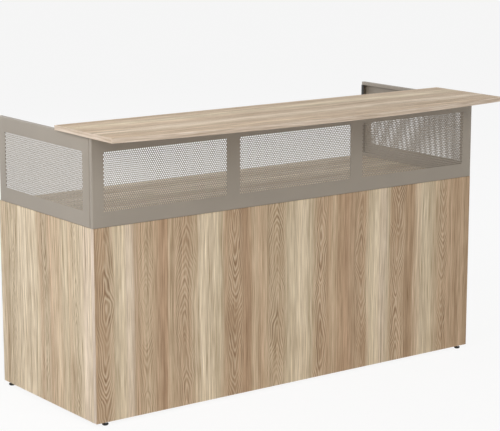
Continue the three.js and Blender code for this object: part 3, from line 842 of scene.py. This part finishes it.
screws = {
    "headRadius": 0.0045, "headHeight": 0.0026, "rimShare": 0.45, "rimLevel": 0.3, "faceShare": 0.93, "crownShare": 0.8,
    "recessReach": 0.0026, "recessWidth": 0.00075, "recessDepth": 0.0015, "recessTaper": 0.72,
    "shankRadius": 0.0022, "threadStart": 0.0005, "threadDepth": 0.0005, "pitch": 0.0016, "root": 0.3, "crest": 0.75,
    "plainLength": 0.004, "tipLength": 0.002, "tipShare": 0.75, "tipRadius": 0.0003, "sides": 32, "smooth": 35,
}

def circle(radius, sides):
    angles = [2 * math.pi * i / sides for i in range(sides)]
    return [(radius * math.cos(angle), radius * math.sin(angle)) for angle in angles]

def screwMesh(length, spec):
    # head up the z axis with its underside at zero, shank below
    sides, radius, height = spec["sides"], spec["headRadius"], spec["headHeight"]
    long, short = spec["recessReach"], spec["recessWidth"]
    cross = [(long, -short), (long, short), (short, short), (short, long), (-short, long), (-short, short),
             (-long, short), (-long, -short), (-short, -short), (-short, -long), (short, -long), (short, -short)]
    face, crown = circle(radius * spec["faceShare"], sides), circle(radius * spec["crownShare"], sides)
    points = [Vector(p) for p in face + crown + cross]
    ring = lambda first, count: [(first + i, first + (i + 1) % count) for i in range(count)]
    edges = ring(0, sides) + ring(sides, sides) + ring(2 * sides, 12)
    spots, unused, triangles = delaunay_2d_cdt(points, edges, [], 0, 1e-9)[:3]
    def inCross(triangle):
        x, y = (abs(sum(spots[i][k] for i in triangle) / 3) for k in (0, 1))
        return (x < long and y < short) or (x < short and y < long)
    dome = lambda r: height * (1 - (1 - spec["rimShare"]) * (r / radius) ** 2)
    vertices = [(p[0], p[1], dome(p.length)) for p in spots]
    faces = [tuple(t) for t in triangles if not inCross(t)]
    nearest = lambda p: min(range(len(spots)), key=lambda i: (spots[i] - Vector(p)).length)
    top = [nearest(p) for p in cross]
    floor = len(vertices)
    taper = spec["recessTaper"]
    vertices += [(x * taper, y * taper, height - spec["recessDepth"]) for x, y in cross]
    faces += [(top[i], top[(i + 1) % 12], floor + (i + 1) % 12, floor + i) for i in range(12)]
    faces.append(tuple(range(floor, floor + 12)))
    # rim, underside and threaded shank, turned down to the point
    shank, pitch = spec["shankRadius"], spec["pitch"]
    rows = [(radius, height * spec["rimLevel"]), (radius, 0.0), (shank, 0.0)]
    for turn in range(int((length - spec["plainLength"]) / pitch)):
        level = -spec["threadStart"] - turn * pitch
        rows.append((shank - spec["threadDepth"], level - pitch * spec["root"]))
        rows.append((shank, level - pitch * spec["crest"]))
    rows += [(shank * spec["tipShare"], -length + spec["tipLength"]), (spec["tipRadius"], -length)]
    above = [nearest(p) for p in face]
    for rowRadius, level in rows:
        first = len(vertices)
        vertices += [(x, y, level) for x, y in circle(rowRadius, sides)]
        below = list(range(first, first + sides))
        faces += [(above[(i + 1) % sides], above[i], below[i], below[(i + 1) % sides]) for i in range(sides)]
        above = below
    faces.append(tuple(reversed(above)))
    return vertices, faces

def makeScrews(name, seats, outward, length, replaced=None, spec=screws):
    # seats are the points under each head
    turn = Vector((0, 0, 1)).rotation_difference(Vector(outward))
    points, ring = screwMesh(length, spec)
    vertices, faces = [], []
    for seat in seats:
        first = len(vertices)
        vertices += [turn @ Vector(p) + Vector(seat) for p in points]
        faces += [tuple(first + i for i in face) for face in ring]
    piece = newPiece(name, vertices, faces, zincPlate, smooth=spec["smooth"])
    if replaced:
        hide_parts(replaced)

def replaceScrew(name, outward):
    low, high = (Vector(c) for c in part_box(name))
    middle, away = (low + high) / 2, Vector(outward)
    half = abs((high - low).dot(away)) / 2
    seat = middle + away * (half - screws["headHeight"])
    makeScrews(name + "_head", [seat], outward, 2 * half - screws["headHeight"], name)

for side in ("left", "right"):
    for name in (f"front_screen_{side}_screw", f"{side}_end_screen_front_screw", f"{side}_end_screen_rear_screw"):
        replaceScrew(name, (0, 0, 1))
    for level in ("lower", "upper"):
        replaceScrew(f"{side}_{level}_corner_screw", (0, 1, 0))
for number in (1, 2):
    replaceScrew(f"top_screw_{number}", (0, 0, -1))

bracketScrews = {
    "length": 0.014, "steel": 0.0025, "fromEdge": 0.019, "stagger": 0.02, "railSpots": (0.1, 0.5, 0.9),
    "angleSpots": (0.2, 0.8), "postSpots": (0.25, 0.6), "stiffenerSpots": (0.04, 0.27, 0.5, 0.73, 0.96),
}

def fixBrackets(spec):
    down, back = (0, 0, -1), (0, 1, 0)
    steel, inset, length = spec["steel"], spec["fromEdge"], spec["length"]
    def spread(low, high, axis, name):
        return [low[axis] + (high[axis] - low[axis]) * share for share in spec[name]]
    for side, sign in (("left", 1), ("right", -1)):
        low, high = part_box(side + "_worksurface_rail")
        spots = spread(low, high, 1, "railSpots")
        outer = low[0] if sign > 0 else high[0]
        seats = [(outer + sign * steel, y, high[2] - inset) for y in spots]
        makeScrews(side + "_rail_wall_screws", seats, (sign, 0, 0), length)
        seats = [(outer + sign * inset, y + spec["stagger"], high[2] - steel) for y in spots]
        makeScrews(side + "_rail_top_screws", seats, down, length)
        low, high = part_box(side + "_front_angle")
        spots = spread(low, high, 0, "angleSpots")
        seats = [(x, low[1] + steel, high[2] - inset) for x in spots]
        makeScrews(side + "_angle_wall_screws", seats, back, length)
        seats = [(x, low[1] + inset, high[2] - steel) for x in spots]
        makeScrews(side + "_angle_top_screws", seats, down, length)
    for number in (1, 2):
        low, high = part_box(f"top_bracket_{number}")
        middle = (low[0] + high[0]) / 2
        seats = [(middle, low[1] + steel, z) for z in spread(low, high, 2, "postSpots")]
        makeScrews(f"top_bracket_{number}_post_screws", seats, back, length)
    low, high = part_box("worksurface_stiffener")
    middle = (low[1] + high[1]) / 2
    seats = [(x, middle, high[2] - steel) for x in spread(low, high, 0, "stiffenerSpots")]
    makeScrews("stiffener_screws", seats, down, length)

fixBrackets(bracketScrews)
print("screws made")


# leveling feet: ribbed glide on a threaded stud

feet = {
    "names": ["front_left_foot", "front_right_foot", "rear_left_foot", "rear_right_foot"],
    "glide": [        # radius and height, from the sole to the collar
        (0.0082, 0.0), (0.0090, 0.0002), (0.0098, 0.0008), (0.0108, 0.0018), (0.0117, 0.0028),
        (0.0120, 0.0036), (0.0120, 0.0062), (0.0117, 0.0070), (0.0106, 0.0078), (0.0088, 0.0083),
        (0.0074, 0.0086), (0.0070, 0.0090), (0.0069, 0.0097), (0.0066, 0.0100), (0.0046, 0.0100)],
    "ribZone": (0.0030, 0.0068), "ribDepth": 0.0007, "ribs": 20, "sides": 120, "smooth": 40,
    "studRadius": 0.004, "threadDepth": 0.00065, "pitch": 0.00125, "studSides": 24, "rowsPerTurn": 6, "studSmooth": 50,
}

def turnedSolid(rows, sides, radiusAt):
    vertices, faces = [], []
    for row, (radius, level) in enumerate(rows):
        for i in range(sides):
            angle = 2 * math.pi * i / sides
            reach = radiusAt(radius, level, angle)
            vertices.append((reach * math.cos(angle), reach * math.sin(angle), level))
        if row:
            first = row * sides
            for i in range(sides):
                after = (i + 1) % sides
                faces.append((first - sides + i, first - sides + after, first + after, first + i))
    faces.append(tuple(reversed(range(sides))))
    faces.append(tuple(range(len(vertices) - sides, len(vertices))))
    return vertices, faces

def makeFoot(name, spec):
    low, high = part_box(name + "_pad")
    centre = ((low[0] + high[0]) / 2, (low[1] + high[1]) / 2, low[2])
    def ribbed(radius, level, angle):
        inside = spec["ribZone"][0] < level < spec["ribZone"][1]
        return radius - spec["ribDepth"] * (0.5 - 0.5 * math.cos(spec["ribs"] * angle)) * inside
    def threaded(radius, level, angle):
        phase = (level / spec["pitch"] - angle / (2 * math.pi)) % 1.0
        return radius - spec["threadDepth"] * abs(2 * phase - 1)
    placed = lambda points: [tuple(a + b for a, b in zip(p, centre)) for p in points]
    points, faces = turnedSolid(spec["glide"], spec["sides"], ribbed)
    glide = newPiece(name + "_glide", placed(points), faces, blackPlastic, name, spec["smooth"])
    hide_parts(name + "_pad")
    studLow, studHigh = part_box(name + "_stud")
    bottom, top = studLow[2] - low[2], studHigh[2] - low[2]
    count = int((top - bottom) / spec["pitch"] * spec["rowsPerTurn"])
    rows = [(spec["studRadius"], bottom + (top - bottom) * i / count) for i in range(count + 1)]
    points, faces = turnedSolid(rows, spec["studSides"], threaded)
    stud = newPiece(name + "_thread", placed(points), faces, zincPlate, name, spec["studSmooth"])
    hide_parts(name + "_stud")

for name in feet["names"]:
    makeFoot(name, feet)
print("feet made")
